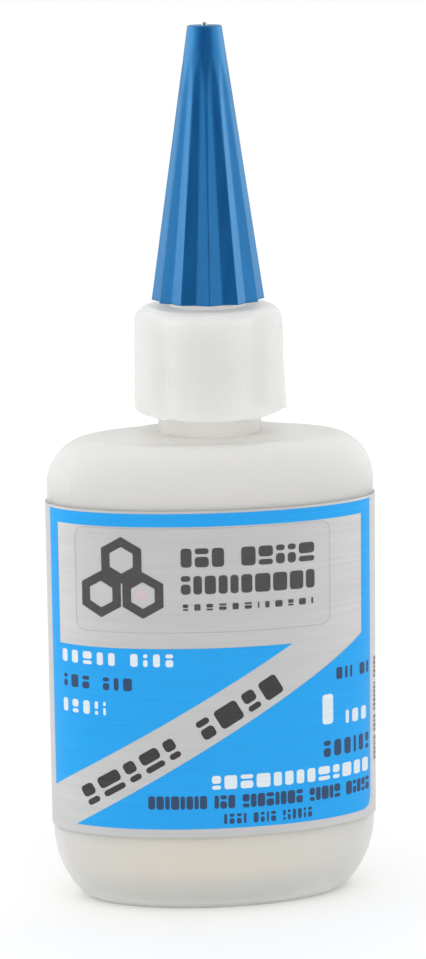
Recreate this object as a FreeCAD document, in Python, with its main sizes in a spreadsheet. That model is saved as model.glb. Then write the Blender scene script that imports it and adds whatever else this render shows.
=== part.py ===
import FreeCAD, Part
import math
import os
import Sketcher

# Squeeze bottle for instant glue: an oval translucent bottle with a wrap label, a nozzle held
# down by a six-sided screw collar, and a tall fluted cap with a steel pin in its tip.
# Millimetres. The origin is the middle of the base, +Z is up, the label's front faces -Y.

doc = FreeCAD.newDocument("glue_bottle")
sheet = doc.addObject("Spreadsheet::Sheet", "Size")

DIMENSIONS = [
    ("half_width", 20.15, "bottle body, middle to side"),
    ("half_depth", 9.20, "bottle body, middle to front"),
    ("wall", 0.90, "bottle wall"),
    ("outside", 0.00, "inset of the bottle's outer face from its stated size"),
    ("foot_height", 9.00, "where the sides start to curve in to the base"),
    ("foot_radius", 12.00, "curve of the sides into the base"),
    ("foot_flat", 0.41, "how much less the front curves in than the sides"),
    ("base_half_width", 15.41, "flat of the base, middle to side"),
    ("base_half_depth", 7.25, "flat of the base, middle to front"),
    ("base_edge", 0.60, "height of the rounding round the base"),
    ("recess_half_width", 11.80, "hollow under the base, middle to side"),
    ("recess_half_depth", 4.30, "hollow under the base, middle to front"),
    ("recess_deep", 0.50, "depth of the hollow under the base"),
    ("pinch_length", 17.00, "moulding seam across the base, length"),
    ("pinch_width", 0.50, "moulding seam across the base, width"),
    ("pinch_deep", 0.30, "moulding seam across the base, height"),
    ("shoulder_start", 52.40, "where the sides start to curve in to the shoulder"),
    ("shoulder_rise", 6.00, "height of the shoulder curve"),
    ("shoulder_side", 5.50, "how far the shoulder curves in at the sides"),
    ("shoulder_front", 2.20, "how far the shoulder curves in at the front"),
    ("deck_rise", 0.55, "rise of the shoulder's top to the neck"),
    ("deck_half_width", 9.00, "shoulder's top where it meets the neck, to the side"),
    ("deck_half_depth", 6.45, "shoulder's top where it meets the neck, to the front"),
    ("neck_radius", 6.30, "neck, below the thread's crest"),
    ("neck_bore", 5.00, "neck's inside radius"),
    ("neck_top", 72.60, "top of the neck"),
    ("neck_thread_start", 63.00, "middle of the neck thread's first end"),
    ("neck_thread_rise", 8.40, "rise of the neck thread"),
    ("lead", 3.00, "rise of either thread in one turn"),
    ("crest", 0.70, "width of a thread's crest"),
    ("root", 1.50, "width of a thread's root"),
    ("buried", 0.35, "how far a thread's root runs into its wall"),
    ("neck_crest", 0.70, "height of the neck and collar threads"),
    ("label_gap", 0.03, "bottle to label"),
    ("label_thick", 0.22, "label film with its adhesive"),
    ("label_bottom", 9.80, "label's lower edge"),
    ("label_height", 40.85, "label, edge to edge"),
    ("lap_thick", 0.08, "second layer where the label's ends overlap"),
    ("lap_width", 5.00, "width of that overlap"),
    ("badge_gap", 0.05, "label to badge"),
    ("badge_thick", 0.06, "clear badge on the label"),
    ("badge_left", -17.20, "badge's left edge"),
    ("badge_width", 31.00, "badge, side to side"),
    ("badge_bottom", 35.60, "badge's lower edge"),
    ("badge_height", 13.00, "badge, edge to edge"),
    ("badge_corner", 1.20, "badge's corner radius"),
    ("glue_gap", 0.05, "wall to liquid, so that the two stay apart"),
    ("glue_level", 50.00, "surface of the liquid"),
    ("plug_bottom", 66.00, "lower end of the spout's plug"),
    ("plug_radius", 4.95, "plug, a close fit in the neck"),
    ("plug_lead_in", 0.60, "taper at the plug's lower end"),
    ("flange_gap", 0.02, "neck to flange"),
    ("flange_radius", 6.60, "flange that sits on the neck"),
    ("flange_thick", 0.58, "flange"),
    ("barrel_radius", 4.50, "spout where it passes through the collar"),
    ("barrel_top", 74.70, "top of that part"),
    ("spout_root", 3.90, "spout below its thread's crest"),
    ("spout_thread_from", 75.20, "start of the threaded stretch"),
    ("spout_thread_to", 81.30, "end of the threaded stretch"),
    ("spout_thread_start", 76.05, "middle of the spout thread's first end"),
    ("spout_thread_rise", 4.50, "rise of the spout thread"),
    ("spout_crest", 0.55, "height of the spout and cap threads"),
    ("cone_radius", 3.70, "foot of the spout's cone"),
    ("tip_radius", 1.20, "spout's tip"),
    ("tip_height", 103.00, "spout's tip"),
    ("channel_radius", 3.40, "spout's channel inside the plug"),
    ("channel_top", 75.00, "where the channel starts to narrow"),
    ("outlet_radius", 0.65, "spout's outlet"),
    ("outlet_length", 3.00, "straight end of the outlet"),
    ("collar_bottom", 61.25, "collar's lower face"),
    ("collar_height", 13.05, "collar"),
    ("collar_corner", 9.35, "six-sided collar, middle to corner before rounding"),
    ("collar_round", 1.30, "rounding of the six corners"),
    ("collar_foot", 9.17, "collar's envelope at the foot"),
    ("collar_head", 8.98, "collar's envelope at the head"),
    ("collar_head_round", 1.90, "rounding round the head"),
    ("collar_foot_round", 0.95, "rounding round the foot"),
    ("collar_turned", -6.00, "degrees that the six sides are turned by at rest"),
    ("collar_bore", 7.15, "collar's inside radius"),
    ("collar_ceiling", 73.25, "underside of the collar's top plate"),
    ("collar_hole", 4.56, "hole that turns round the spout's barrel"),
    ("collar_thread_start", 64.65, "middle of the collar thread's first end"),
    ("collar_thread_rise", 5.40, "rise of the collar thread"),
    ("wing_bottom", 61.70, "lower end of the collar's wing"),
    ("wing_height", 10.20, "wing"),
    ("wing_inner", 8.30, "wing's foot, measured from the axis"),
    ("wing_outer", 9.46, "wing's lower outer corner"),
    ("wing_thick", 2.60, "wing"),
    ("wing_at", -6.00, "degrees from +X to the wing"),
    ("cap_bottom", 75.03, "cap's lower edge"),
    ("cap_height", 32.97, "cap"),
    ("cap_foot", 6.85, "cap's radius at its lower edge"),
    ("cap_tip", 2.06, "cap's radius at its tip"),
    ("cap_tip_round", 0.22, "rounding of the tip's edge"),
    ("flute_depth", 0.91, "radius at a flute's root, as a share of the cone's"),
    ("flute_root", 0.16, "flat at a flute's root"),
    ("flute_top", 99.50, "height where the flutes start to run out"),
    ("flute_end", 104.60, "height where the flutes have run out"),
    ("flute_reach", 1.38, "flute cutter, root to outside"),
    ("flute_spread", 11.68, "flute cutter's outside width beyond its root"),
    ("flute_count", 12, "flutes round the cap"),
    ("flute_at", 10.50, "degrees from +X to the first flute at rest"),
    ("cap_bore", 4.60, "cap's threaded bore"),
    ("cap_bore_top", 82.00, "top of that bore"),
    ("cap_thread_start", 77.55, "middle of the cap thread's first end"),
    ("cap_thread_rise", 3.60, "rise of the cap thread"),
    ("cavity_foot", 4.05, "cap's hollow above the bore"),
    ("cavity_head", 1.55, "cap's hollow at its head"),
    ("cavity_top", 103.45, "head of the cap's hollow"),
    ("pin_hole", 0.40, "hole for the pin"),
    ("pin_radius", 0.35, "pin"),
    ("pin_bottom", 98.60, "pin's point"),
    ("pin_point", 0.60, "length of the pin's point"),
    ("pin_top", 108.36, "pin's visible end"),
    ("pin_round", 0.12, "bevel round that end"),
]
for row, (alias, value, meaning) in enumerate(DIMENSIONS, start=1):
    sheet.set(f"A{row}", meaning)
    sheet.set(f"B{row}", str(value))
    sheet.setAlias(f"B{row}", alias)
doc.recompute()

SKETCH_MIDDLE, SKETCH_REACH = 10.0, 5.0   # a new outline starts as a polygon of this place and size


# ---- helpers: plain primitives whose sizes follow the sheet ----

def bind(item, formulas):
    """Ties properties of an object to formulas over the sheet."""
    for prop, formula in formulas.items():
        item.setExpression(prop, formula)
    return item


def oval(name, half_width, half_depth, height):
    """Elliptical section of the bottle at a height."""
    return bind(doc.addObject("Part::Ellipse", name), {
        "MajorRadius": half_width,
        "MinorRadius": half_depth,
        "Placement.Base.z": height,
    })


def loft(name, sections, ruled=False):
    """Closed solid through a row of sections."""
    body = doc.addObject("Part::Loft", name)
    body.Sections = sections
    body.Solid = True
    body.Ruled = ruled
    return body


def oval_prism(name, half_width, half_depth, bottom, height):
    """Straight elliptical block."""
    body = doc.addObject("Part::Extrusion", name)
    body.Base = oval(name + "_section", half_width, half_depth, bottom)
    body.DirMode = "Custom"
    body.Dir = FreeCAD.Vector(0, 0, 1)
    body.Solid = True
    return bind(body, {"LengthFwd": height})


def box(name, corner, lengths):
    """Block from its low corner and its lengths."""
    formulas = dict(zip(("Placement.Base.x", "Placement.Base.y", "Placement.Base.z"), corner))
    formulas.update(zip(("Length", "Width", "Height"), lengths))
    return bind(doc.addObject("Part::Box", name), formulas)


def cylinder(name, radius, bottom, height):
    """Round block on the bottle's axis."""
    return bind(doc.addObject("Part::Cylinder", name), {
        "Radius": radius,
        "Height": height,
        "Placement.Base.z": bottom,
    })


def fuse(name, pieces, refine=True):
    """One solid from several that overlap or meet."""
    body = doc.addObject("Part::MultiFuse", name)
    body.Shapes = pieces
    body.Refine = refine
    return body


def cut(name, base, tool):
    """Base without tool."""
    body = doc.addObject("Part::Cut", name)
    body.Base = base
    body.Tool = tool
    body.Refine = True
    return body


def common(name, pieces):
    """What several solids share."""
    body = doc.addObject("Part::MultiCommon", name)
    body.Shapes = pieces
    body.Refine = True
    return body


def plane(body, role):
    """One of a body's own origin planes."""
    return next(item for item in body.Origin.OriginFeatures if item.Role == role)


def outline(body, name, corners, role="XZ_Plane", lift=None, turn=None):
    """Closed polygon sketch whose corners are pairs of formulas; None puts one on that axis."""
    sketch = body.newObject("Sketcher::SketchObject", name)
    sketch.AttachmentSupport = [(plane(body, role), "")]
    sketch.MapMode = "FlatFace"
    if lift:
        sketch.setExpression("AttachmentOffset.Base.z", lift)
    if turn:
        sketch.setExpression("AttachmentOffset.Rotation.Angle", turn)
    count = len(corners)
    start = [FreeCAD.Vector(SKETCH_MIDDLE + SKETCH_REACH * math.cos(math.tau * i / count),
                            SKETCH_MIDDLE + SKETCH_REACH * math.sin(math.tau * i / count), 0)
             for i in range(count)]
    for i in range(count):
        sketch.addGeometry(Part.LineSegment(start[i], start[(i + 1) % count]), False)
    for i in range(count):
        sketch.addConstraint(Sketcher.Constraint("Coincident", i, 2, (i + 1) % count, 1))
    for i, (across, up) in enumerate(corners):
        for kind, formula, value, axis in (("DistanceX", across, start[i].x, -2),
                                           ("DistanceY", up, start[i].y, -1)):
            if formula is None:
                sketch.addConstraint(Sketcher.Constraint("PointOnObject", i, 1, axis))
            else:
                index = sketch.addConstraint(Sketcher.Constraint(kind, -1, 1, i, 1, value))
                sketch.setExpression(f"Constraints[{index}]", formula)
    return sketch


def turned(body, name, sketch, kind="Revolution"):
    """Full turn of an outline round the Z axis, added to the body or grooved out of it."""
    feature = body.newObject("PartDesign::" + kind, name)
    feature.Profile = sketch
    feature.ReferenceAxis = (sketch, ["V_Axis"])
    feature.Angle = 360
    return feature


def thread(body, name, wall, crest, height, start, rise):
    """Right-hand ridge round the Z axis, from inside its wall to its crest."""
    buried = f"{wall} - Size.buried" if height == "+" else f"{wall} + Size.buried"
    top = f"{wall} {height} {crest}"
    section = outline(body, name + "_outline", [
        (buried, f"{start} - Size.root / 2"),
        (buried, f"{start} + Size.root / 2"),
        (top, f"{start} + Size.crest / 2"),
        (top, f"{start} - Size.crest / 2"),
    ])
    feature = body.newObject("PartDesign::AdditiveHelix", name)
    feature.Profile = section
    feature.ReferenceAxis = (section, ["V_Axis"])
    feature.Mode = "pitch-height-angle"
    return bind(feature, {"Pitch": "Size.lead", "Height": rise})


def round_edges(body, name, base, edges, radius):
    """Fillet on named edges of the feature before it."""
    feature = body.newObject("PartDesign::Fillet", name)
    feature.Base = (base, edges)
    return bind(feature, {"Radius": radius})


def edges_where(shape, test):
    """Names of the edges whose middle point and box pass a test."""
    return [f"Edge{i}" for i, edge in enumerate(shape.Edges, start=1)
            if test(edge, edge.valueAt((edge.FirstParameter + edge.LastParameter) / 2))]


def number(alias):
    """A cell of the sheet as a plain number."""
    return float(sheet.get(alias))


# ---- bottle ----

FOOT_ANGLES = (0, 14, 27, 37, 44)
SHOULDER_ANGLES = (0, 14, 28, 42, 55, 67, 77, 85, 90)


def foot_ovals(name, inset):
    """Sections from where the sides leave the straight down towards the base."""
    sections = []
    for angle in FOOT_ANGLES:
        turn_in = f"(Size.foot_radius - {inset}) * (1 - cos({angle}deg))"
        sections.append(oval(
            f"{name}_{angle}",
            f"Size.half_width - {inset} - {turn_in}",
            f"Size.half_depth - {inset} - Size.foot_flat * {turn_in}",
            f"Size.foot_height - (Size.foot_radius - {inset}) * sin({angle}deg)",
        ))
    return sections


def shoulder_ovals(name, inset):
    """Sections of the shoulder, which is crisp at the front and full at the sides."""
    return [oval(
        f"{name}_{angle}",
        f"Size.half_width - {inset} - Size.shoulder_side * (1 - cos({angle}deg))",
        f"Size.half_depth - {inset} - Size.shoulder_front * (1 - cos({angle}deg)^0.5)",
        f"Size.shoulder_start + (Size.shoulder_rise - {inset}) * sin({angle}deg)",
    ) for angle in SHOULDER_ANGLES]


def make_bottle():
    """Blow-moulded shell with its threaded neck."""
    foot = foot_ovals("foot_oval", "Size.outside")
    base = oval("base_oval", "Size.base_half_width", "Size.base_half_depth", "Size.outside")
    shoulder = shoulder_ovals("shoulder_oval", "Size.outside")
    deck_top = oval("deck_oval", "Size.deck_half_width", "Size.deck_half_depth",
                    "Size.shoulder_start + Size.shoulder_rise + Size.deck_rise")
    straight = oval_prism("straight", "Size.half_width", "Size.half_depth", "Size.foot_height",
                          "Size.shoulder_start - Size.foot_height")
    neck = doc.addObject("PartDesign::Body", "neck")
    turned(neck, "neck_post", outline(neck, "neck_outline", [
        (None, "Size.shoulder_start + Size.shoulder_rise / 2"),
        ("Size.neck_radius", "Size.shoulder_start + Size.shoulder_rise / 2"),
        ("Size.neck_radius", "Size.neck_top"),
        (None, "Size.neck_top"),
    ]))
    neck.Tip = thread(neck, "neck_thread", "Size.neck_radius", "Size.neck_crest", "+",
                      "Size.neck_thread_start", "Size.neck_thread_rise")
    outside = fuse("bottle_outside", [
        loft("foot", foot), loft("base_rounding", [foot[-1], base], ruled=True), straight,
        loft("shoulder", shoulder), loft("deck", [shoulder[-1], deck_top], ruled=True), neck])

    inner_shoulder = shoulder_ovals("hollow_shoulder_oval", "Size.wall")
    hollow = fuse("bottle_hollow", [
        loft("hollow_foot", foot_ovals("hollow_foot_oval", "Size.wall")),
        oval_prism("hollow_straight", "Size.half_width - Size.wall",
                   "Size.half_depth - Size.wall", "Size.foot_height",
                   "Size.shoulder_start - Size.foot_height"),
        loft("hollow_shoulder", inner_shoulder),
        cylinder("neck_bore", "Size.neck_bore", "Size.shoulder_start + Size.shoulder_rise / 2",
                 "Size.neck_top - Size.shoulder_start")])
    recess = oval_prism("base_recess", "Size.recess_half_width", "Size.recess_half_depth",
                        "-Size.recess_deep", "2 * Size.recess_deep")
    pinch = box("pinch_seam",
                ("-Size.pinch_length / 2", "-Size.pinch_width / 2",
                 "Size.recess_deep - Size.pinch_deep"),
                ("Size.pinch_length", "Size.pinch_width", "2 * Size.pinch_deep"))
    shell = cut("bottle_shell", cut("bottle_blank", outside, hollow), recess)
    return fuse("bottle", [shell, pinch])


# ---- what is on and in the bottle ----

def label_ring(name, inner, outer, bottom, height):
    """Film between two offsets from the bottle's wall."""
    sides = [oval_prism(f"{name}_{side}", f"Size.half_width + {offset}",
                        f"Size.half_depth + {offset}", bottom, height)
             for side, offset in (("outside", outer), ("inside", inner))]
    return cut(name, *sides)


def make_wrap_label():
    """Printed film right round the body, its ends lapped at the back."""
    skin = "Size.label_gap + Size.label_thick"
    film = label_ring("label_film", "Size.label_gap", f"({skin})",
                      "Size.label_bottom", "Size.label_height")
    second = label_ring("label_lap_ring", "Size.label_gap", f"({skin} + Size.lap_thick)",
                        "Size.label_bottom", "Size.label_height")
    strip = box("label_lap_box", ("-Size.lap_width / 2", "Size.half_depth / 2", "Size.label_bottom"),
                ("Size.lap_width", "Size.half_width", "Size.label_height"))
    return fuse("wrap_label", [film, common("label_lap", [second, strip])])


def make_badge_sticker():
    """Clear rounded rectangle that follows the label's front."""
    inner = "(Size.label_gap + Size.label_thick + Size.badge_gap)"
    outer = "(Size.label_gap + Size.label_thick + Size.badge_gap + Size.badge_thick)"
    ring = label_ring("badge_ring", inner, outer, "Size.badge_bottom", "Size.badge_height")
    block = box("badge_box", ("Size.badge_left", "-Size.half_width", "Size.badge_bottom"),
                ("Size.badge_width", "Size.half_width", "Size.badge_height"))
    doc.recompute()
    corners = doc.addObject("Part::Fillet", "badge_corners")
    corners.Base = block
    along_depth = [i for i, edge in enumerate(block.Shape.Edges, start=1)
                   if edge.BoundBox.YLength > number("half_depth")]
    corners.Edges = [(i, number("badge_corner"), number("badge_corner")) for i in along_depth]
    return common("badge_sticker", [ring, corners])


def make_glue():
    """Liquid up to its level, clear of the wall."""
    inset = "(Size.wall + Size.glue_gap)"
    return fuse("glue", [
        loft("glue_foot", foot_ovals("glue_foot_oval", inset)),
        oval_prism("glue_straight", f"Size.half_width - {inset}", f"Size.half_depth - {inset}",
                   "Size.foot_height", "Size.glue_level - Size.foot_height")])


# ---- spout, collar, cap and pin: turned parts on the Z axis ----

def make_spout():
    """Nozzle insert: plug, flange, barrel, cap thread, cone and channel."""
    body = doc.addObject("PartDesign::Body", "spout")
    flange = "Size.neck_top + Size.flange_gap"
    turned(body, "spout_blank", outline(body, "spout_outline", [
        (None, "Size.plug_bottom"),
        ("Size.plug_radius - Size.plug_lead_in / 2", "Size.plug_bottom"),
        ("Size.plug_radius", "Size.plug_bottom + Size.plug_lead_in"),
        ("Size.plug_radius", flange),
        ("Size.flange_radius", flange),
        ("Size.flange_radius", f"{flange} + Size.flange_thick"),
        ("Size.barrel_radius", f"{flange} + Size.flange_thick"),
        ("Size.barrel_radius", "Size.barrel_top"),
        ("Size.spout_root", "Size.spout_thread_from"),
        ("Size.spout_root", "Size.spout_thread_to"),
        ("Size.cone_radius", "Size.spout_thread_to"),
        ("Size.tip_radius", "Size.tip_height"),
        (None, "Size.tip_height"),
    ]))
    thread(body, "spout_thread", "Size.spout_root", "Size.spout_crest", "+",
           "Size.spout_thread_start", "Size.spout_thread_rise")
    body.Tip = turned(body, "spout_channel", outline(body, "channel_outline", [
        (None, "Size.plug_bottom - 1"),
        ("Size.channel_radius", "Size.plug_bottom - 1"),
        ("Size.channel_radius", "Size.channel_top"),
        ("Size.outlet_radius", "Size.tip_height - Size.outlet_length"),
        ("Size.outlet_radius", "Size.tip_height + 1"),
        (None, "Size.tip_height + 1"),
    ]), kind="Groove")
    return body


def make_collar():
    """Six-sided screw collar with rounded corners, and the wing on one of them."""
    nut = bind(doc.addObject("Part::Prism", "collar_nut"), {
        "Circumradius": "Size.collar_corner",
        "Height": "Size.collar_height",
        "Placement.Base.z": "Size.collar_bottom",
        "Placement.Rotation.Angle": "Size.collar_turned * 1deg",
    })
    nut.Polygon = 6
    doc.recompute()
    rounded = doc.addObject("Part::Fillet", "collar_corners")
    rounded.Base = nut
    upright = [i for i, edge in enumerate(nut.Shape.Edges, start=1)
               if edge.BoundBox.ZLength > number("collar_height") / 2]
    rounded.Edges = [(i, number("collar_round"), number("collar_round")) for i in upright]

    envelope = doc.addObject("PartDesign::Body", "collar_envelope")
    disc = turned(envelope, "envelope_disc", outline(envelope, "envelope_outline", [
        (None, "Size.collar_bottom"),
        ("Size.collar_foot", "Size.collar_bottom"),
        ("Size.collar_head", "Size.collar_bottom + Size.collar_height"),
        (None, "Size.collar_bottom + Size.collar_height"),
    ]))
    doc.recompute()
    rims = {"head": "Size.collar_head_round", "foot": "Size.collar_foot_round"}
    low = number("collar_bottom") + number("collar_height") / 2
    last = disc
    for rim, radius in rims.items():
        names = edges_where(last.Shape, lambda edge, middle: (
            edge.BoundBox.ZLength < 0.01 and edge.BoundBox.XLength > 2 * number("collar_bore")
            and (middle.z > low) == (rim == "head")))
        last = round_edges(envelope, f"envelope_{rim}", last, names, radius)
        doc.recompute()
    envelope.Tip = last

    wing = doc.addObject("PartDesign::Body", "collar_wing")
    section = outline(wing, "wing_outline", [
        ("Size.wing_inner", "Size.wing_bottom"),
        ("Size.wing_outer", "Size.wing_bottom"),
        ("Size.wing_inner + 0.5", "Size.wing_bottom + Size.wing_height"),
        ("Size.wing_inner", "Size.wing_bottom + Size.wing_height"),
    ])
    pad = wing.newObject("PartDesign::Pad", "wing_pad")
    pad.Profile = section
    pad.Midplane = True
    pad.setExpression("Length", "Size.wing_thick")
    wing.setExpression("Placement.Rotation.Angle", "Size.wing_at * 1deg")

    solid = fuse("collar_solid", [common("collar_outside", [rounded, envelope]), wing])
    hollow = fuse("collar_hollow", [
        cylinder("collar_bore_tool", "Size.collar_bore", "Size.collar_bottom - 1",
                 "Size.collar_ceiling - Size.collar_bottom + 1"),
        cylinder("collar_hole_tool", "Size.collar_hole", "Size.collar_ceiling - 1",
                 "Size.collar_bottom + Size.collar_height - Size.collar_ceiling + 2")])
    ridge = doc.addObject("PartDesign::Body", "collar_ridge")
    ridge.Tip = thread(ridge, "collar_thread", "Size.collar_bore", "Size.neck_crest", "-",
                       "Size.collar_thread_start", "Size.collar_thread_rise")
    return fuse("collar", [cut("collar_blank", solid, hollow), ridge], refine=False)


def flute_section(body, name, root_radius, height):
    """Wedge that cuts one flute, seen from above."""
    half_root = "Size.flute_root / 2"
    half_outside = "(Size.flute_root + Size.flute_spread) / 2"
    return outline(body, name, [
        (root_radius, f"-{half_root}"),
        (f"{root_radius} + Size.flute_reach", f"-{half_outside}"),
        (f"{root_radius} + Size.flute_reach", half_outside),
        (root_radius, half_root),
    ], role="XY_Plane", lift=height, turn="Size.flute_at * 1deg")


def cone_radius_at(height):
    """Formula for the cap's plain radius at a height."""
    return (f"(Size.cap_foot - (Size.cap_foot - Size.cap_tip)"
            f" * ({height} - Size.cap_bottom) / Size.cap_height)")


def make_cap():
    """Conical screw cap: flutes that run out below the tip, thread, hollow and pin hole."""
    body = doc.addObject("PartDesign::Body", "cap")
    cone = turned(body, "cap_cone", outline(body, "cap_outline", [
        (None, "Size.cap_bottom"),
        ("Size.cap_foot", "Size.cap_bottom"),
        ("Size.cap_tip", "Size.cap_bottom + Size.cap_height"),
        (None, "Size.cap_bottom + Size.cap_height"),
    ]))
    doc.recompute()
    top = number("cap_bottom") + number("cap_height")
    tip_edge = edges_where(cone.Shape, lambda edge, middle: (
        edge.BoundBox.ZLength < 0.01 and abs(middle.z - top) < 0.01))
    round_edges(body, "cap_tip_edge", cone, tip_edge, "Size.cap_tip_round")

    flute = body.newObject("PartDesign::SubtractiveLoft", "flute")
    flute.Profile = flute_section(body, "flute_foot", "Size.flute_depth * Size.cap_foot",
                                  "Size.cap_bottom")
    flute.Sections = [
        flute_section(body, "flute_middle",
                      "Size.flute_depth * " + cone_radius_at("Size.flute_top"), "Size.flute_top"),
        flute_section(body, "flute_runout", cone_radius_at("Size.flute_end"), "Size.flute_end"),
    ]
    flute.Ruled = True
    flutes = body.newObject("PartDesign::PolarPattern", "flutes")
    flutes.Originals = [flute]
    flutes.Axis = (flute.Profile[0], ["N_Axis"])
    flutes.Angle = 360
    flutes.setExpression("Occurrences", "Size.flute_count")
    body.Tip = flutes

    turned(body, "cap_hollow", outline(body, "cap_hollow_outline", [
        (None, "Size.cap_bottom - 1"),
        ("Size.cap_bore", "Size.cap_bottom - 1"),
        ("Size.cap_bore", "Size.cap_bore_top"),
        ("Size.cavity_foot", "Size.cap_bore_top"),
        ("Size.cavity_head", "Size.cavity_top"),
        ("Size.pin_hole", "Size.cavity_top"),
        ("Size.pin_hole", "Size.cap_bottom + Size.cap_height + 1"),
        (None, "Size.cap_bottom + Size.cap_height + 1"),
    ]), kind="Groove")
    body.Tip = thread(body, "cap_thread", "Size.cap_bore", "Size.spout_crest", "-",
                      "Size.cap_thread_start", "Size.cap_thread_rise")
    return body


def make_cap_pin():
    """Steel pin through the cap's tip into the spout's outlet."""
    body = doc.addObject("PartDesign::Body", "cap_pin")
    body.Tip = turned(body, "pin_turned", outline(body, "pin_outline", [
        (None, "Size.pin_bottom"),
        ("Size.pin_radius", "Size.pin_bottom + Size.pin_point"),
        ("Size.pin_radius", "Size.pin_top - Size.pin_round"),
        ("Size.pin_radius - Size.pin_round", "Size.pin_top"),
        (None, "Size.pin_top"),
    ]))
    return body


SUBPARTS = {
    "bottle": make_bottle(),
    "wrap_label": make_wrap_label(),
    "badge_sticker": make_badge_sticker(),
    "glue": make_glue(),
    "spout": make_spout(),
    "collar": make_collar(),
    "cap": make_cap(),
    "cap_pin": make_cap_pin(),
}
for name, subpart in SUBPARTS.items():
    subpart.Label = name
doc.recompute()

for item in doc.Objects:
    if "Invalid" in item.State or "Error" in item.State:
        raise RuntimeError(f"{item.Name} did not build: {item.State}")
for name, subpart in SUBPARTS.items():
    if subpart.Shape.isNull() or not subpart.Shape.isValid():
        raise RuntimeError(f"{name} has no valid shape")

os.makedirs("parts", exist_ok=True)
for name, subpart in SUBPARTS.items():
    subpart.Shape.exportStep(f"parts/{name}.step")
    print(f"{name}: {subpart.Shape.Volume:.1f} mm3, {len(subpart.Shape.Solids)} solid")
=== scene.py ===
import math
import random
import bpy
import bmesh
import numpy as np
from mathutils import Matrix, Vector


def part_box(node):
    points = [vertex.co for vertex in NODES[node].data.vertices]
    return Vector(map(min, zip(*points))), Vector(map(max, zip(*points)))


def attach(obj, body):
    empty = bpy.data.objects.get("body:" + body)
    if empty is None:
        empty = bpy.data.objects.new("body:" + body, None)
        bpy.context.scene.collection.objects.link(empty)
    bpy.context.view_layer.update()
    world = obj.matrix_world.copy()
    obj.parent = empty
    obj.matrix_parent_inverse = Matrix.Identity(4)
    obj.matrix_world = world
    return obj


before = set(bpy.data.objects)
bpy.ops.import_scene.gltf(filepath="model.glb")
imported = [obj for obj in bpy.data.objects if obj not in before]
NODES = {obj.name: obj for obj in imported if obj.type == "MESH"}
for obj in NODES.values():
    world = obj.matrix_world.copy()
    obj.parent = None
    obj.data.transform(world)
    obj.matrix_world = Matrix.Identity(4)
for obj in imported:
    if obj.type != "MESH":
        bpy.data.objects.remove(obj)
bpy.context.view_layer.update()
MM = 0.001


# ---- colours and shader nodes ----

def rgb(red, green, blue):
    return (red, green, blue, 1.0)


def grey(value):
    return rgb(value, value, value)


def material(name):
    """New material, with its node tree and its Principled shader."""
    made = bpy.data.materials.new(name)
    made.use_nodes = True
    tree = made.node_tree
    shader = next(n for n in tree.nodes if n.type == "BSDF_PRINCIPLED")
    return made, tree, shader


def join(tree, socket, value):
    """Wires a socket to another node's output, or sets it to a plain value."""
    if isinstance(value, bpy.types.NodeSocket):
        tree.links.new(value, socket)
    else:
        socket.default_value = value


def add(tree, kind, settings=None, **inputs):
    """Node of a kind, with its settings, and its inputs by name or by number (i0, i1 and so on)."""
    node = tree.nodes.new(kind)
    for key, value in (settings or {}).items():
        setattr(node, key, value)
    for key, value in inputs.items():
        numbered = key[0] == "i" and key[1:].isdigit()
        join(tree, node.inputs[int(key[1:]) if numbered else key], value)
    return node


def set_inputs(tree, shader, **inputs):
    """Sets or wires the shader's inputs, each named with _ for a space."""
    for key, value in inputs.items():
        join(tree, shader.inputs[key.replace("_", " ")], value)


def ramp(tree, factor, stops):
    """Colour ramp over two or more stops of (place, colour)."""
    node = add(tree, "ShaderNodeValToRGB", Fac=factor)
    points = node.color_ramp.elements
    while len(points) < len(stops):
        points.new(0.5)
    for point, (place, colour) in zip(points, stops):
        point.position = place
        point.color = colour
    return node.outputs["Color"]


def blend(tree, factor, first, second, mode="MIX"):
    settings = {"data_type": "RGBA", "blend_type": mode}
    return add(tree, "ShaderNodeMix", settings, i0=factor, i6=first, i7=second).outputs[2]


def remap(tree, value, given=(0.0, 1.0), wanted=(0.0, 1.0)):
    """A value's given range brought to the wanted one, and held at its ends."""
    node = add(tree, "ShaderNodeMapRange", Value=value)
    for socket, limit in zip(node.inputs[1:5], given + wanted):
        socket.default_value = limit
    return node.outputs["Result"]


def vector(tree, operation, first, second=None):
    node = add(tree, "ShaderNodeVectorMath", {"operation": operation}, i0=first)
    if second is not None:
        join(tree, node.inputs[1], second)
    return node.outputs["Value" if operation in ("LENGTH", "DOT_PRODUCT") else "Vector"]


def on_axis(tree, place, axis):
    return add(tree, "ShaderNodeSeparateXYZ", Vector=place).outputs[axis]


def place_in_mm(tree, stretch=(1.0, 1.0, 1.0)):
    """Position on the piece in millimetres, stretched per axis."""
    place = add(tree, "ShaderNodeTexCoord").outputs["Object"]
    scale = tuple(part / MM for part in stretch)
    return add(tree, "ShaderNodeMapping", Vector=place, Scale=scale).outputs["Vector"]


def noise(tree, place, scale=1.0, detail=3.0, roughness=0.5):
    return add(tree, "ShaderNodeTexNoise", Vector=place, Scale=scale, Detail=detail,
               Roughness=roughness).outputs["Fac"]


def mottled(tree, pattern, low, high):
    """Colour that goes from low to high over the middle of a noise's range."""
    return ramp(tree, pattern, [(0.30, low), (0.70, high)])


def by_height(tree, place, top, stops):
    """Colour that changes up the piece, over stops of (mm up, colour), the last one below top."""
    height = remap(tree, on_axis(tree, place, "Z"), given=(0.0, top))
    return ramp(tree, height, [(up / top, colour) for up, colour in stops])


def bumped(tree, height, strength, depth, normal=None):
    """Normal with bumps of a depth in mm, on top of another normal where one is given."""
    node = add(tree, "ShaderNodeBump", Height=height, Strength=strength, Distance=depth * MM)
    if normal is not None:
        join(tree, node.inputs["Normal"], normal)
    return node.outputs["Normal"]


# ---- milky plastic ----

SOAK_DEPTH = 0.0030                         # metres that light travels inside the plastic
# painted light: the colour of the plastics' glow, which lightens their shade
PAINTED_GLOW_COLOUR = rgb(1.0, 0.985, 0.955)
TINT_TOP, PAINTED_GLOW_TOP = 64.0, 100.0            # mm up, where the ramps of tint with painted shade and of painted glow end
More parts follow.
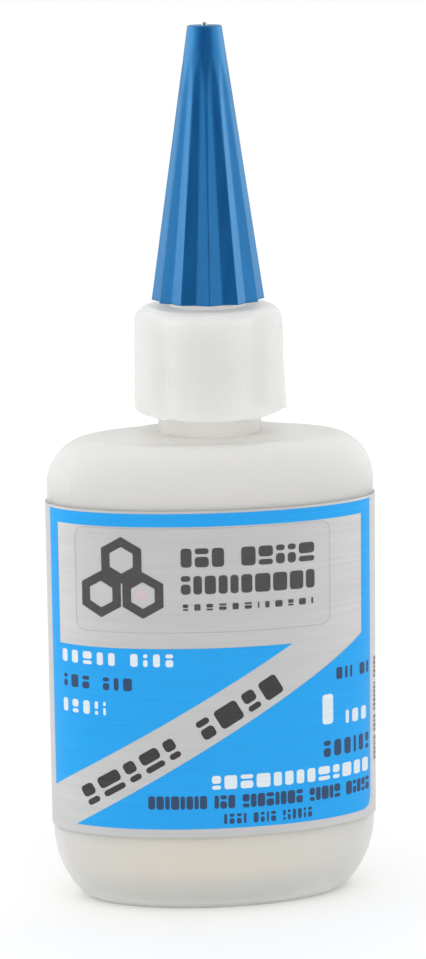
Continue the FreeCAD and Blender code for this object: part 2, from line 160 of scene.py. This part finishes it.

# painted light, as stops of (mm up, strength): an emission that lightens the plastics' shade, most on the
# bottle's foot, the collar's top and the spout's ring under the cap; the spout's goes out just above its
# barrel
BOTTLE_PAINTED_GLOW = [(3.0, 0.006), (6.0, 0.024), (9.0, 0.024), (14.0, 0.012), (55.0, 0.011), (59.0, 0.016)]
SPOUT_PAINTED_GLOW = [(75.0, 0.20), (76.5, 0.0)]
COLLAR_PAINTED_GLOW = [(73.4, 0.015), (74.1, 0.045)]

# the filled bottle's colour, as stops of (mm up, colour), in the middle and at its two ends: warm where
# the liquid shows, with painted shade that darkens the foot and the band just above the label, lighter
# again towards the neck
MIDDLE_TINT_AND_SHADE = [(0.0, rgb(0.69, 0.71, 0.71)), (3.4, rgb(0.785, 0.795, 0.785)),
               (5.2, rgb(1.0, 0.885, 0.775)), (9.0, rgb(1.0, 0.885, 0.775)),
               (51.0, rgb(0.905, 0.912, 0.91)), (57.0, rgb(0.992, 0.98, 0.945))]
END_TINT_AND_SHADE = [(0.0, rgb(0.82, 0.825, 0.82)), (9.0, rgb(0.905, 0.91, 0.90)), (51.0, rgb(0.97, 0.97, 0.96))]
TINT_CENTRE = -1.5                          # mm across
TINT_CHANGE = (5.5, 18.0)                   # mm from the centre, from the middle's tint to the ends'


def polyethylene(name, tint, cloud, veil, painted_glow, bands=None):
    """Milky polyethylene: light soaks into it, veil is its Alpha, and the glow is painted light, an
    emission by height that lightens its shaded parts.
    """
    made, tree, shader = material(name)
    place = place_in_mm(tree)
    colour = ramp(tree, noise(tree, place, scale=0.11, detail=2.0), [(0.30, cloud), (0.72, tint)])
    if bands:
        # the bands carry the liquid's tint and the painted shade at the foot and above the label
        colour = blend(tree, 1.0, colour, bands(tree, place), "MULTIPLY")
    skin = noise(tree, place, scale=2.2, detail=4.0)
    shader.subsurface_method = "RANDOM_WALK"
    set_inputs(tree, shader, Base_Color=colour, Alpha=veil, IOR=1.51, Specular_IOR_Level=0.5,
               Roughness=remap(tree, skin, wanted=(0.26, 0.42)),
               Normal=bumped(tree, skin, strength=0.04, depth=0.05),
               Subsurface_Weight=1.0, Subsurface_Radius=(1.0, 1.0, 1.0), Subsurface_Scale=SOAK_DEPTH,
               # painted light: an emission by height that lightens the plastic's shade
               Emission_Color=PAINTED_GLOW_COLOUR,
               Emission_Strength=by_height(tree, place, PAINTED_GLOW_TOP, [(up, grey(g)) for up, g in painted_glow]))
    return made


def liquid_tint_and_painted_shade(tree, place):
    """Tint of the filled bottle: warm where the liquid shows, with painted shade at the foot and just
    above the label, plain at the ends.
    """
    middle = by_height(tree, place, TINT_TOP, MIDDLE_TINT_AND_SHADE)
    ends = by_height(tree, place, TINT_TOP, END_TINT_AND_SHADE)
    across = add(tree, "ShaderNodeMath", {"operation": "SUBTRACT"}, i0=on_axis(tree, place, "X"),
                 i1=TINT_CENTRE).outputs["Value"]
    side = add(tree, "ShaderNodeMath", {"operation": "ABSOLUTE"}, i0=across).outputs["Value"]
    return blend(tree, remap(tree, side, given=TINT_CHANGE), middle, ends)


# ---- the label's materials ----

BADGE_CORNER, BADGE_EDGE = 1.2, 0.16        # mm, the sticker's corner radius and its cut edge's line


def film_grain(tree):
    return noise(tree, place_in_mm(tree, (0.10, 0.10, 5.0)), detail=5.0, roughness=0.6)


def brushed_film(name):
    """Silver-grey label film with a fine level grain."""
    made, tree, shader = material(name)
    grain = film_grain(tree)
    streak = noise(tree, place_in_mm(tree, (0.03, 0.03, 1.1)))
    both = add(tree, "ShaderNodeMix", {"data_type": "FLOAT"}, Factor=0.35, i2=grain,
               i3=streak).outputs["Result"]
    set_inputs(tree, shader, Base_Color=mottled(tree, both, grey(0.52), grey(0.61)),
               Roughness=remap(tree, grain, wanted=(0.30, 0.46)),
               Normal=bumped(tree, grain, strength=0.25, depth=0.02),
               Metallic=0.62, Specular_IOR_Level=0.5)
    return made


def ink(name, low, high, metal=0.0):
    """Print on the film: its colour, with the film's grain showing through."""
    made, tree, shader = material(name)
    grain = film_grain(tree)
    set_inputs(tree, shader, Base_Color=mottled(tree, grain, low, high),
               Roughness=remap(tree, grain, wanted=(0.30, 0.42)),
               Normal=bumped(tree, grain, strength=0.15, depth=0.02), Metallic=metal)
    return made


def cut_edge(tree, piece, corner, line):
    """0 on the face of an upright rounded rectangle, 1 on a thin line along its edge, in mm."""
    across = [v.co.x / MM for v in piece.data.vertices]
    up = [v.co.z / MM for v in piece.data.vertices]
    middle = ((max(across) + min(across)) / 2, 0.0, (max(up) + min(up)) / 2)
    straight = (max(across) - middle[0] - corner, 0.0, max(up) - middle[2] - corner)
    away = vector(tree, "SUBTRACT", place_in_mm(tree), middle)
    away = vector(tree, "ABSOLUTE", vector(tree, "MULTIPLY", away, (1.0, 0.0, 1.0)))
    past = vector(tree, "MAXIMUM", vector(tree, "SUBTRACT", away, straight), (0.0, 0.0, 0.0))
    return remap(tree, vector(tree, "LENGTH", past), given=(corner - line, corner - line / 2))


def clear_film(name, piece):
    """Clear glossy sticker with a faint veil, which shows grey where it is cut."""
    made, tree, shader = material(name)
    veil = noise(tree, place_in_mm(tree, (0.3, 0.3, 3.0)))
    colour = mottled(tree, veil, rgb(0.70, 0.70, 0.71), rgb(0.80, 0.80, 0.81))
    edge = cut_edge(tree, piece, BADGE_CORNER, BADGE_EDGE)
    set_inputs(tree, shader, Base_Color=blend(tree, edge, colour, grey(0.30)), IOR=1.5,
               Roughness=remap(tree, veil, wanted=(0.10, 0.18)),
               Alpha=remap(tree, edge, wanted=(0.02, 0.11)))
    return made


# ---- the other materials ----

EDGES_SOFTEN = (86.0, 100.0)                # mm up, from where to where the cap's edges soften
EDGE_RADIUS = (0.22 * MM, 0.7 * MM)         # metres, how round they look below and above that


def cap_plastic(name):
    """Blue moulded plastic with a satin skin and faint flow marks along the cap."""
    made, tree, shader = material(name)
    place = place_in_mm(tree)
    flow = noise(tree, place_in_mm(tree, (1.4, 1.4, 0.12)))
    colour = mottled(tree, flow, rgb(0.002, 0.084, 0.290), rgb(0.003, 0.106, 0.345))
    radius = remap(tree, on_axis(tree, place, "Z"), given=EDGES_SOFTEN, wanted=EDGE_RADIUS)
    rounded = add(tree, "ShaderNodeBevel", {"samples": 6}, Radius=radius).outputs["Normal"]
    set_inputs(tree, shader, Base_Color=colour, Roughness=remap(tree, flow, wanted=(0.27, 0.36)),
               Normal=bumped(tree, noise(tree, place, scale=7.0), 0.10, 0.02, rounded),
               IOR=1.50, Specular_IOR_Level=1.0, Specular_Tint=rgb(0.35, 0.97, 0.99), Metallic=0.30)
    return made


def drawn_steel(name):
    """Bare steel with fine marks along the pin."""
    made, tree, shader = material(name)
    lines = noise(tree, place_in_mm(tree, (14.0, 14.0, 0.8)), detail=4.0)
    set_inputs(tree, shader, Base_Color=mottled(tree, lines, grey(0.40), grey(0.62)),
               Roughness=remap(tree, lines, wanted=(0.22, 0.38)),
               Normal=bumped(tree, lines, strength=0.2, depth=0.01), Metallic=1.0)
    return made


def liquid(name):
    """Pale yellow liquid."""
    made, tree, shader = material(name)
    drift = noise(tree, place_in_mm(tree), scale=0.15, detail=2.0)
    colour = mottled(tree, drift, rgb(0.93, 0.85, 0.68), rgb(0.97, 0.91, 0.78))
    set_inputs(tree, shader, Base_Color=colour, Roughness=remap(tree, drift, wanted=(0.02, 0.06)),
               Transmission_Weight=0.3, IOR=1.44)
    return made


def floor_white(name):
    """Dull white that glows a little, so that the floor runs into the background."""
    made, tree, shader = material(name)
    drift = noise(tree, place_in_mm(tree), scale=0.02, detail=2.0)
    set_inputs(tree, shader, Base_Color=ramp(tree, drift, [(0.0, grey(0.93)), (1.0, grey(0.95))]),
               Roughness=0.9, Specular_IOR_Level=0.1, Emission_Color=grey(1.0), Emission_Strength=0.08)
    return made


def dress(node, made):
    """Gives a CAD node its material."""
    mesh = NODES[node].data
    mesh.materials.clear()
    mesh.materials.append(made)


BLUE_INK = ink("blue_ink", rgb(0.003, 0.330, 0.800), rgb(0.006, 0.380, 0.880), metal=0.3)
DARK_INK = ink("dark_ink", rgb(0.018, 0.015, 0.017), rgb(0.036, 0.030, 0.033))
NAVY_INK = ink("navy_ink", rgb(0.006, 0.035, 0.105), rgb(0.012, 0.055, 0.145))
WHITE_INK = ink("white_ink", rgb(0.66, 0.74, 0.80), rgb(0.76, 0.83, 0.88))
PINK_INK = ink("pink_ink", rgb(0.55, 0.43, 0.49), rgb(0.66, 0.54, 0.60))

dress("bottle", polyethylene("natural_polyethylene", tint=rgb(0.999, 0.982, 0.945),
                             cloud=rgb(0.990, 0.970, 0.925), veil=0.70, painted_glow=BOTTLE_PAINTED_GLOW,
                             bands=liquid_tint_and_painted_shade))
dress("spout", polyethylene("spout_polyethylene", tint=rgb(0.910, 0.905, 0.885),
                            cloud=rgb(0.885, 0.878, 0.855), veil=0.85, painted_glow=SPOUT_PAINTED_GLOW))
dress("collar", polyethylene("collar_polyethylene", tint=rgb(0.895, 0.892, 0.875),
                             cloud=rgb(0.870, 0.867, 0.848), veil=0.58, painted_glow=COLLAR_PAINTED_GLOW))
dress("wrap_label", brushed_film("label_film"))
dress("badge_sticker", clear_film("clear_film", NODES["badge_sticker"]))
dress("glue", liquid("glue_liquid"))
dress("cap", cap_plastic("cap_plastic"))
dress("cap_pin", drawn_steel("pin_steel"))


# ---- print: flat outlines, in mm along the label and mm up, wrapped on to the label ----

LABEL_LOW, LABEL_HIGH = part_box("wrap_label")
HALF_WIDTH, HALF_DEPTH = LABEL_HIGH.x / MM, -LABEL_LOW.y / MM
OVAL_POINTS = 20001         # on the label's oval, for measuring along it
INK_THICK = 0.010           # mm
INK_LIFT = 0.012            # mm above the label
OVERPRINT_LIFT = 0.028      # mm above the label, for print on top of the blue
STRIP = 0.5                 # mm between the cuts that let the print follow the curve
CUT_TOLERANCE = 1e-5        # mm
CORNER_POINTS = 5           # on each round corner of a block of print


def oval_distances():
    """Angles right round the label's oval, and the distance along it from the middle of its front."""
    angles = np.linspace(-math.pi, math.pi, OVAL_POINTS)
    speed = np.hypot(HALF_WIDTH * np.cos(angles), HALF_DEPTH * np.sin(angles))
    steps = (speed[1:] + speed[:-1]) / 2 * np.diff(angles)
    distances = np.concatenate([[0.0], np.cumsum(steps)])
    return angles, distances - distances[-1] / 2


ANGLES, DISTANCES = oval_distances()


def on_label(along, height, lift):
    """Point at a distance along the label from the middle of its front, in metres."""
    angle = float(np.interp(along, DISTANCES, ANGLES))
    x, y = HALF_WIDTH * math.sin(angle), -HALF_DEPTH * math.cos(angle)
    outward = Vector((math.sin(angle) / HALF_WIDTH, -math.cos(angle) / HALF_DEPTH, 0)).normalized()
    return (Vector((x, y, height)) + outward * lift) * MM


def flat_print(outlines):
    """Flat faces that look to the front, cut across into strips."""
    mesh = bmesh.new()
    for outline in outlines:
        mesh.faces.new([mesh.verts.new((along, 0.0, height)) for along, height in outline])
    left = min(v.co.x for v in mesh.verts)
    right = max(v.co.x for v in mesh.verts)
    for step in range(math.floor(left / STRIP) + 1, math.ceil(right / STRIP)):
        everything = mesh.verts[:] + mesh.edges[:] + mesh.faces[:]
        bmesh.ops.bisect_plane(mesh, geom=everything, dist=CUT_TOLERANCE,
                               plane_co=(step * STRIP, 0, 0), plane_no=(1, 0, 0))
    bmesh.ops.recalc_face_normals(mesh, faces=mesh.faces)
    for face in mesh.faces:
        if face.normal.y > 0:
            face.normal_flip()
    return mesh


def thicken_and_wrap(mesh, lift):
    """Turns flat faces into closed print, bent round the label."""
    under = mesh.faces[:]
    grown = bmesh.ops.extrude_face_region(mesh, geom=under, use_keep_orig=True)
    top = {item for item in grown["geom"] if isinstance(item, bmesh.types.BMVert)}
    for face in under:
        face.normal_flip()
    for vertex in mesh.verts:
        rise = lift + (INK_THICK if vertex in top else 0.0)
        vertex.co = on_label(vertex.co.x, vertex.co.z, rise)


def new_object(name, mesh, made):
    data = bpy.data.meshes.new(name)
    mesh.to_mesh(data)
    mesh.free()
    data.materials.append(made)
    piece = bpy.data.objects.new(name, data)
    bpy.context.scene.collection.objects.link(piece)
    return piece


def printed(name, outlines, made, lift=INK_LIFT):
    """One piece of print on the label."""
    mesh = flat_print(outlines)
    thicken_and_wrap(mesh, lift)
    piece = new_object(name, mesh, made)
    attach(piece, "bottle_body")


# ---- outlines ----

def bar(left, right, low, high):
    return [(left, low), (right, low), (right, high), (left, high)]


def pill(left, right, low, high, radius):
    """Rounded rectangle, whose radius is at most half its shorter side."""
    radius = min(radius, (right - left) / 2, (high - low) / 2)
    corners = [(right - radius, high - radius, 0), (left + radius, high - radius, 90),
               (left + radius, low + radius, 180), (right - radius, low + radius, 270)]
    points = []
    for x, z, start in corners:
        for part in range(CORNER_POINTS):
            angle = math.radians(start + part * 90 / (CORNER_POINTS - 1))
            points.append((x + radius * math.cos(angle), z + radius * math.sin(angle)))
    return points


def turned(outlines, angle, origin):
    """Outlines turned about (0, 0), which then moves to an origin."""
    cosine, sine = math.cos(angle), math.sin(angle)
    return [[(origin[0] + cosine * x - sine * z, origin[1] + sine * x + cosine * z) for x, z in outline]
            for outline in outlines]


def hexagon_ring(x, z, radius, thickness):
    """Six-sided ring as six flat pieces."""
    def corner(index, distance):
        angle = math.radians(30 + 60 * index)
        return (x + distance * math.cos(angle), z + distance * math.sin(angle))
    inner = radius - thickness
    return [[corner(i, inner), corner(i, radius), corner(i + 1, radius), corner(i + 1, inner)]
            for i in range(6)]


# stand-in text: a letter's width and the space between words are relative until the line is fitted,
# and the other three are shares of the line's height
LETTER_WIDTHS = (0.62, 1.15)
WORD_SPACE = 0.75
LETTER_CORNER = 0.18
SPLITS = (0, 0, 0, 0.36, 0.62)      # where a letter may be cut across, and 0 for one left whole
SPLIT_HALF = 0.07                   # half the height of that cut


def letter(left, right, low, high, split):
    """The upright rounded block that stands in for a letter, in two parts where it is split."""
    tall = high - low
    middle, slot = low + split * tall, SPLIT_HALF * tall
    parts = [(low, middle - slot), (middle + slot, high)] if split else [(low, high)]
    return [pill(left, right, bottom, top, LETTER_CORNER * tall) for bottom, top in parts]


def text_line(left, right, low, high, words, gap, seed):
    """A line of stand-in text, of words with so many letters each."""
    draw = random.Random(seed)
    widths = [[draw.uniform(*LETTER_WIDTHS) for _ in range(count)] for count in words]
    unit = (right - left) / (sum(map(sum, widths)) + WORD_SPACE * (len(words) - 1))
    inset = gap * min(unit, high - low) / 2
    outlines, start = [], left
    for word in widths:
        for width in word:
            end = start + width * unit
            outlines += letter(start + inset, end - inset, low, high, draw.choice(SPLITS))
            start = end
        start += WORD_SPACE * unit
    return outlines


def text(rows):
    """Lines of stand-in text, from rows of (left, right, low, high, words, gap, seed)."""
    return [outline for row in rows for outline in text_line(*row)]


# ---- the front of the label ----

PANEL_LEFT, PANEL_RIGHT, PANEL_BOTTOM, PANEL_TOP = -22.1, 20.85, 10.86, 50.35
LEFT_BAR, RIGHT_BAR, TOP_BAR = 1.5, 1.8, 1.62       # widths of the blue frame's bars
INNER_TOP = PANEL_TOP - TOP_BAR
UPPER_SLOPE, UPPER_MIDDLE = 0.5926, 28.34           # the grey band's edges: slope, and height at along 0
LOWER_SLOPE, LOWER_MIDDLE = 0.6082, 22.13
TRIANGLE_TOP = 33.65                                # the blue triangle above the band
CORNER_SIZE, CORNER_INSET = 1.5, 0.4                # the panel's lower right corner

# (left, right, low, high, letters in each word, gap between letters, seed)
BADGE_TEXT = [(-4.9, 12.1, 43.75, 46.1, (3, 5), 0.16, 3),
              (-4.9, 12.1, 40.4, 42.7, (10,), 0.16, 4),
              (-4.9, 12.1, 38.4, 39.2, (12,), 0.9, 5)]
WHITE_TEXT = [(-20.5, -5.45, 31.4, 33.0, (5, 4), 0.42, 11),
              (-20.5, -13.9, 25.1, 26.8, (5,), 0.42, 12),
              (-1.5, 20.4, 15.85, 17.6, (13,), 0.24, 13),
              (16.0, 20.1, 22.6, 24.3, (3,), 0.35, 14)]
NAVY_TEXT = [(-20.3, -10.6, 28.3, 29.9, (3, 3), 0.36, 21),
             (14.7, 20.6, 28.4, 29.9, (3, 2), 0.36, 22),
             (12.8, 20.6, 18.7, 20.8, (6,), 0.36, 23),
             (-9.2, 20.5, 13.4, 15.1, (8, 3, 8, 5, 5), 0.16, 24),
             (0.0, 11.5, 11.4, 12.7, (4, 4, 6), 0.36, 25)]
WHITE_BLOCK = (12.9, 14.4, 22.9, 26.7, 0.4)         # left, right, low, high, radius

# small print that climbs the right-hand edge, and the long line up the grey band
EDGE_TEXT = (0.0, 13.4, 0.0, 0.85, (6, 4, 7, 5), 0.3, 6)
EDGE_START = (22.8, 16.6)
DIAGONAL_START, DIAGONAL_END, DIAGONAL_TALL = (-16.9, 13.2), (7.95, 28.5), 2.6

HEXAGON_CENTRES = ((-14.55, 40.3), (-9.35, 40.3), (-11.95, 44.6))
HEXAGON_RADIUS, HEXAGON_LINE, DOT_RADIUS = 2.9, 1.25, 0.8


def blue_panels():
    """Bars along the top and down both sides, a triangle above the grey band and one below it."""
    inner_left, inner_right = PANEL_LEFT + LEFT_BAR, PANEL_RIGHT - RIGHT_BAR
    triangle_low = UPPER_SLOPE * PANEL_LEFT + UPPER_MIDDLE
    triangle_right = (TRIANGLE_TOP - UPPER_MIDDLE) / UPPER_SLOPE
    panel_start = (PANEL_BOTTOM - LOWER_MIDDLE) / LOWER_SLOPE
    panel_high = LOWER_SLOPE * inner_right + LOWER_MIDDLE
    return [
        bar(PANEL_LEFT, PANEL_RIGHT, INNER_TOP, PANEL_TOP),
        bar(PANEL_LEFT, inner_left, TRIANGLE_TOP, INNER_TOP),
        [(PANEL_LEFT, triangle_low), (triangle_right, TRIANGLE_TOP), (PANEL_LEFT, TRIANGLE_TOP)],
        bar(inner_right, PANEL_RIGHT, panel_high, INNER_TOP),
        [(panel_start, PANEL_BOTTOM), (PANEL_RIGHT - CORNER_SIZE, PANEL_BOTTOM),
         (PANEL_RIGHT - CORNER_INSET, PANEL_BOTTOM + CORNER_INSET),
         (PANEL_RIGHT, PANEL_BOTTOM + CORNER_SIZE), (PANEL_RIGHT, panel_high),
         (inner_right, panel_high)],
    ]


def dark_lines():
    """The badge's text, the text up the edge, and three hexagons that stand in for a mark."""
    outlines = text(BADGE_TEXT) + turned(text_line(*EDGE_TEXT), math.pi / 2, EDGE_START)
    for x, z in HEXAGON_CENTRES:
        outlines += hexagon_ring(x, z, HEXAGON_RADIUS, HEXAGON_LINE)
    return outlines


def dot(x, z, radius):
    return pill(x - radius, x + radius, z - radius, z + radius, radius)


def diagonal_line():
    reach = math.dist(DIAGONAL_START, DIAGONAL_END)
    line = text_line(0.0, reach, 0.0, DIAGONAL_TALL, (5, 4), gap=0.3, seed=8)
    return turned(line, math.atan(UPPER_SLOPE), DIAGONAL_START)


printed("print_blue_panels", blue_panels(), BLUE_INK)
printed("print_dark_lines", dark_lines(), DARK_INK)
printed("print_pink_dot", [dot(*HEXAGON_CENTRES[1], DOT_RADIUS)], PINK_INK)
printed("print_diagonal_line", diagonal_line(), DARK_INK)
printed("print_white_lines", text(WHITE_TEXT) + [pill(*WHITE_BLOCK)], WHITE_INK, OVERPRINT_LIFT)
printed("print_navy_lines", text(NAVY_TEXT), NAVY_INK, OVERPRINT_LIFT)


# ---- the back of the label: a blue band above and below lines of small print, clear of the lap ----

BACK_START, BACK_END = 25.8, 45.6                   # on either side of the lap
BACK_BLOCKS = ((-BACK_END, -BACK_START), (BACK_START, BACK_END))
BACK_MARGIN = 1.2
TITLE_LOW, TITLE_HIGH, TITLE_SHORT = 44.6, 46.6, 6.0
SMALL_ROWS, SMALL_WORDS, SMALL_LETTERS = 12, 5, (3, 8)
SMALL_FIRST, SMALL_PITCH, SMALL_TALL = 41.6, 2.25, 1.15
SMALL_SHORT = (1.0, 4.5)                            # how far a row may stop before the block's end
WORDS_SEED, TITLE_SEED, ROW_SEED = 31, 32, 40       # ROW_SEED is for the first row, and then one more each


def back_bands():
    outlines = []
    for left, right in BACK_BLOCKS:
        outlines.append(bar(left, right, INNER_TOP, PANEL_TOP))
        outlines.append(bar(left, right, PANEL_BOTTOM, PANEL_BOTTOM + TOP_BAR))
    return outlines


def back_lines():
    """A short title and rows of small print in each block."""
    draw = random.Random(WORDS_SEED)
    rows = []
    for left, right in BACK_BLOCKS:
        start = left + BACK_MARGIN
        rows.append((start, right - TITLE_SHORT, TITLE_LOW, TITLE_HIGH, (5, 4), 0.16, TITLE_SEED))
        for row in range(SMALL_ROWS):
            low = SMALL_FIRST - row * SMALL_PITCH
            words = [draw.randint(*SMALL_LETTERS) for _ in range(SMALL_WORDS)]
            end = right - draw.uniform(*SMALL_SHORT)
            rows.append((start, end, low, low + SMALL_TALL, words, 0.36, ROW_SEED + row))
    return text(rows)


printed("print_back_bands", back_bands(), BLUE_INK)
printed("print_back_lines", back_lines(), DARK_INK)


# ---- floor and light, in metres ----

FLOOR_HALF = 4.0
TOWARDS_CAMERA = (-0.10, -0.99, 0.10)
# the surroundings' brightness, from behind the object (0) to behind the camera (1)
SOFT_LIGHT = [(0.70, grey(0.77)), (0.97, grey(1.10))]
GLOSS_LIGHT = [(0.0, grey(0.45)), (0.12, grey(1.5)), (0.25, grey(2.8)), (0.55, grey(2.5)),
               (0.78, grey(1.45)), (0.90, grey(0.20)), (0.97, grey(0.02))]
# and from above, which takes over from level (0) to straight up (1)
OVERHEAD = [(0.55, grey(0.0)), (0.90, grey(1.0))]
TOP_LIGHT, TOP_GLOSS = grey(1.15), grey(0.5)
LIT_POINT = (0, 0, 0.055)


def floor():
    mesh = bmesh.new()
    bmesh.ops.create_grid(mesh, x_segments=2, y_segments=2, size=FLOOR_HALF)
    piece = new_object("floor", mesh, floor_white("floor_white"))


def surroundings():
    """White to the camera, even light for the object, and a studio of panels for its gloss."""
    world = bpy.data.worlds.new("studio")
    bpy.context.scene.world = world
    world.use_nodes = True
    tree = world.node_tree
    tree.nodes.clear()
    direction = add(tree, "ShaderNodeTexCoord").outputs["Generated"]
    facing = vector(tree, "DOT_PRODUCT", direction, TOWARDS_CAMERA)
    facing = remap(tree, facing, given=(-1.0, 1.0))
    overhead = ramp(tree, on_axis(tree, direction, "Z"), OVERHEAD)
    soft = blend(tree, overhead, ramp(tree, facing, SOFT_LIGHT), TOP_LIGHT)
    gloss = blend(tree, overhead, ramp(tree, facing, GLOSS_LIGHT), TOP_GLOSS)
    path = add(tree, "ShaderNodeLightPath")
    lit = blend(tree, path.outputs["Is Glossy Ray"], soft, gloss)
    colour = blend(tree, path.outputs["Is Camera Ray"], lit, grey(1.0))
    background = add(tree, "ShaderNodeBackground", Color=colour, Strength=1.0).outputs["Background"]
    add(tree, "ShaderNodeOutputWorld", Surface=background)


def softbox(name, place, size, power):
    """Area light that faces the object."""
    data = bpy.data.lights.new(name, "AREA")
    data.shape = "RECTANGLE"
    data.size, data.size_y = size
    data.energy = power
    lamp = bpy.data.objects.new(name, data)
    bpy.context.scene.collection.objects.link(lamp)
    lamp.location = place
    away = Vector(place) - Vector(LIT_POINT)
    lamp.rotation_euler = away.to_track_quat("Z", "Y").to_euler()


floor()
surroundings()
softbox("left_softbox", place=(-0.62, 0.02, 0.30), size=(0.30, 0.60), power=0.55)
softbox("right_softbox", place=(0.62, 0.16, 0.22), size=(0.30, 0.70), power=0.3)


# ---- camera, in the place from which the photograph was taken ----

CAMERA_PLACE = (-0.03946, -0.37757, 0.12803)        # metres
CAMERA_TURN, CAMERA_DIP, CAMERA_ROLL = math.radians(6.0144), math.radians(11.2349), math.radians(0.7497)
LENS = 118.2                                        # mm
NEAREST, FARTHEST = 0.01, 20.0                      # metres that the camera sees


def camera():
    data = bpy.data.cameras.new("camera")
    data.lens = LENS
    data.clip_start, data.clip_end = NEAREST, FARTHEST
    made = bpy.data.objects.new("camera", data)
    bpy.context.scene.collection.objects.link(made)
    ahead = Vector((math.sin(CAMERA_TURN) * math.cos(CAMERA_DIP),
                    math.cos(CAMERA_TURN) * math.cos(CAMERA_DIP), -math.sin(CAMERA_DIP)))
    level = Vector((math.cos(CAMERA_TURN), -math.sin(CAMERA_TURN), 0.0))
    up = level.cross(ahead)
    right = level * math.cos(CAMERA_ROLL) - up * math.sin(CAMERA_ROLL)
    top = level * math.sin(CAMERA_ROLL) + up * math.cos(CAMERA_ROLL)
    aim = Matrix((right, top, -ahead)).transposed().to_4x4()
    made.matrix_world = Matrix.Translation(CAMERA_PLACE) @ aim
    return made


bpy.context.scene.camera = camera()
bpy.context.scene.view_settings.view_transform = "Standard"
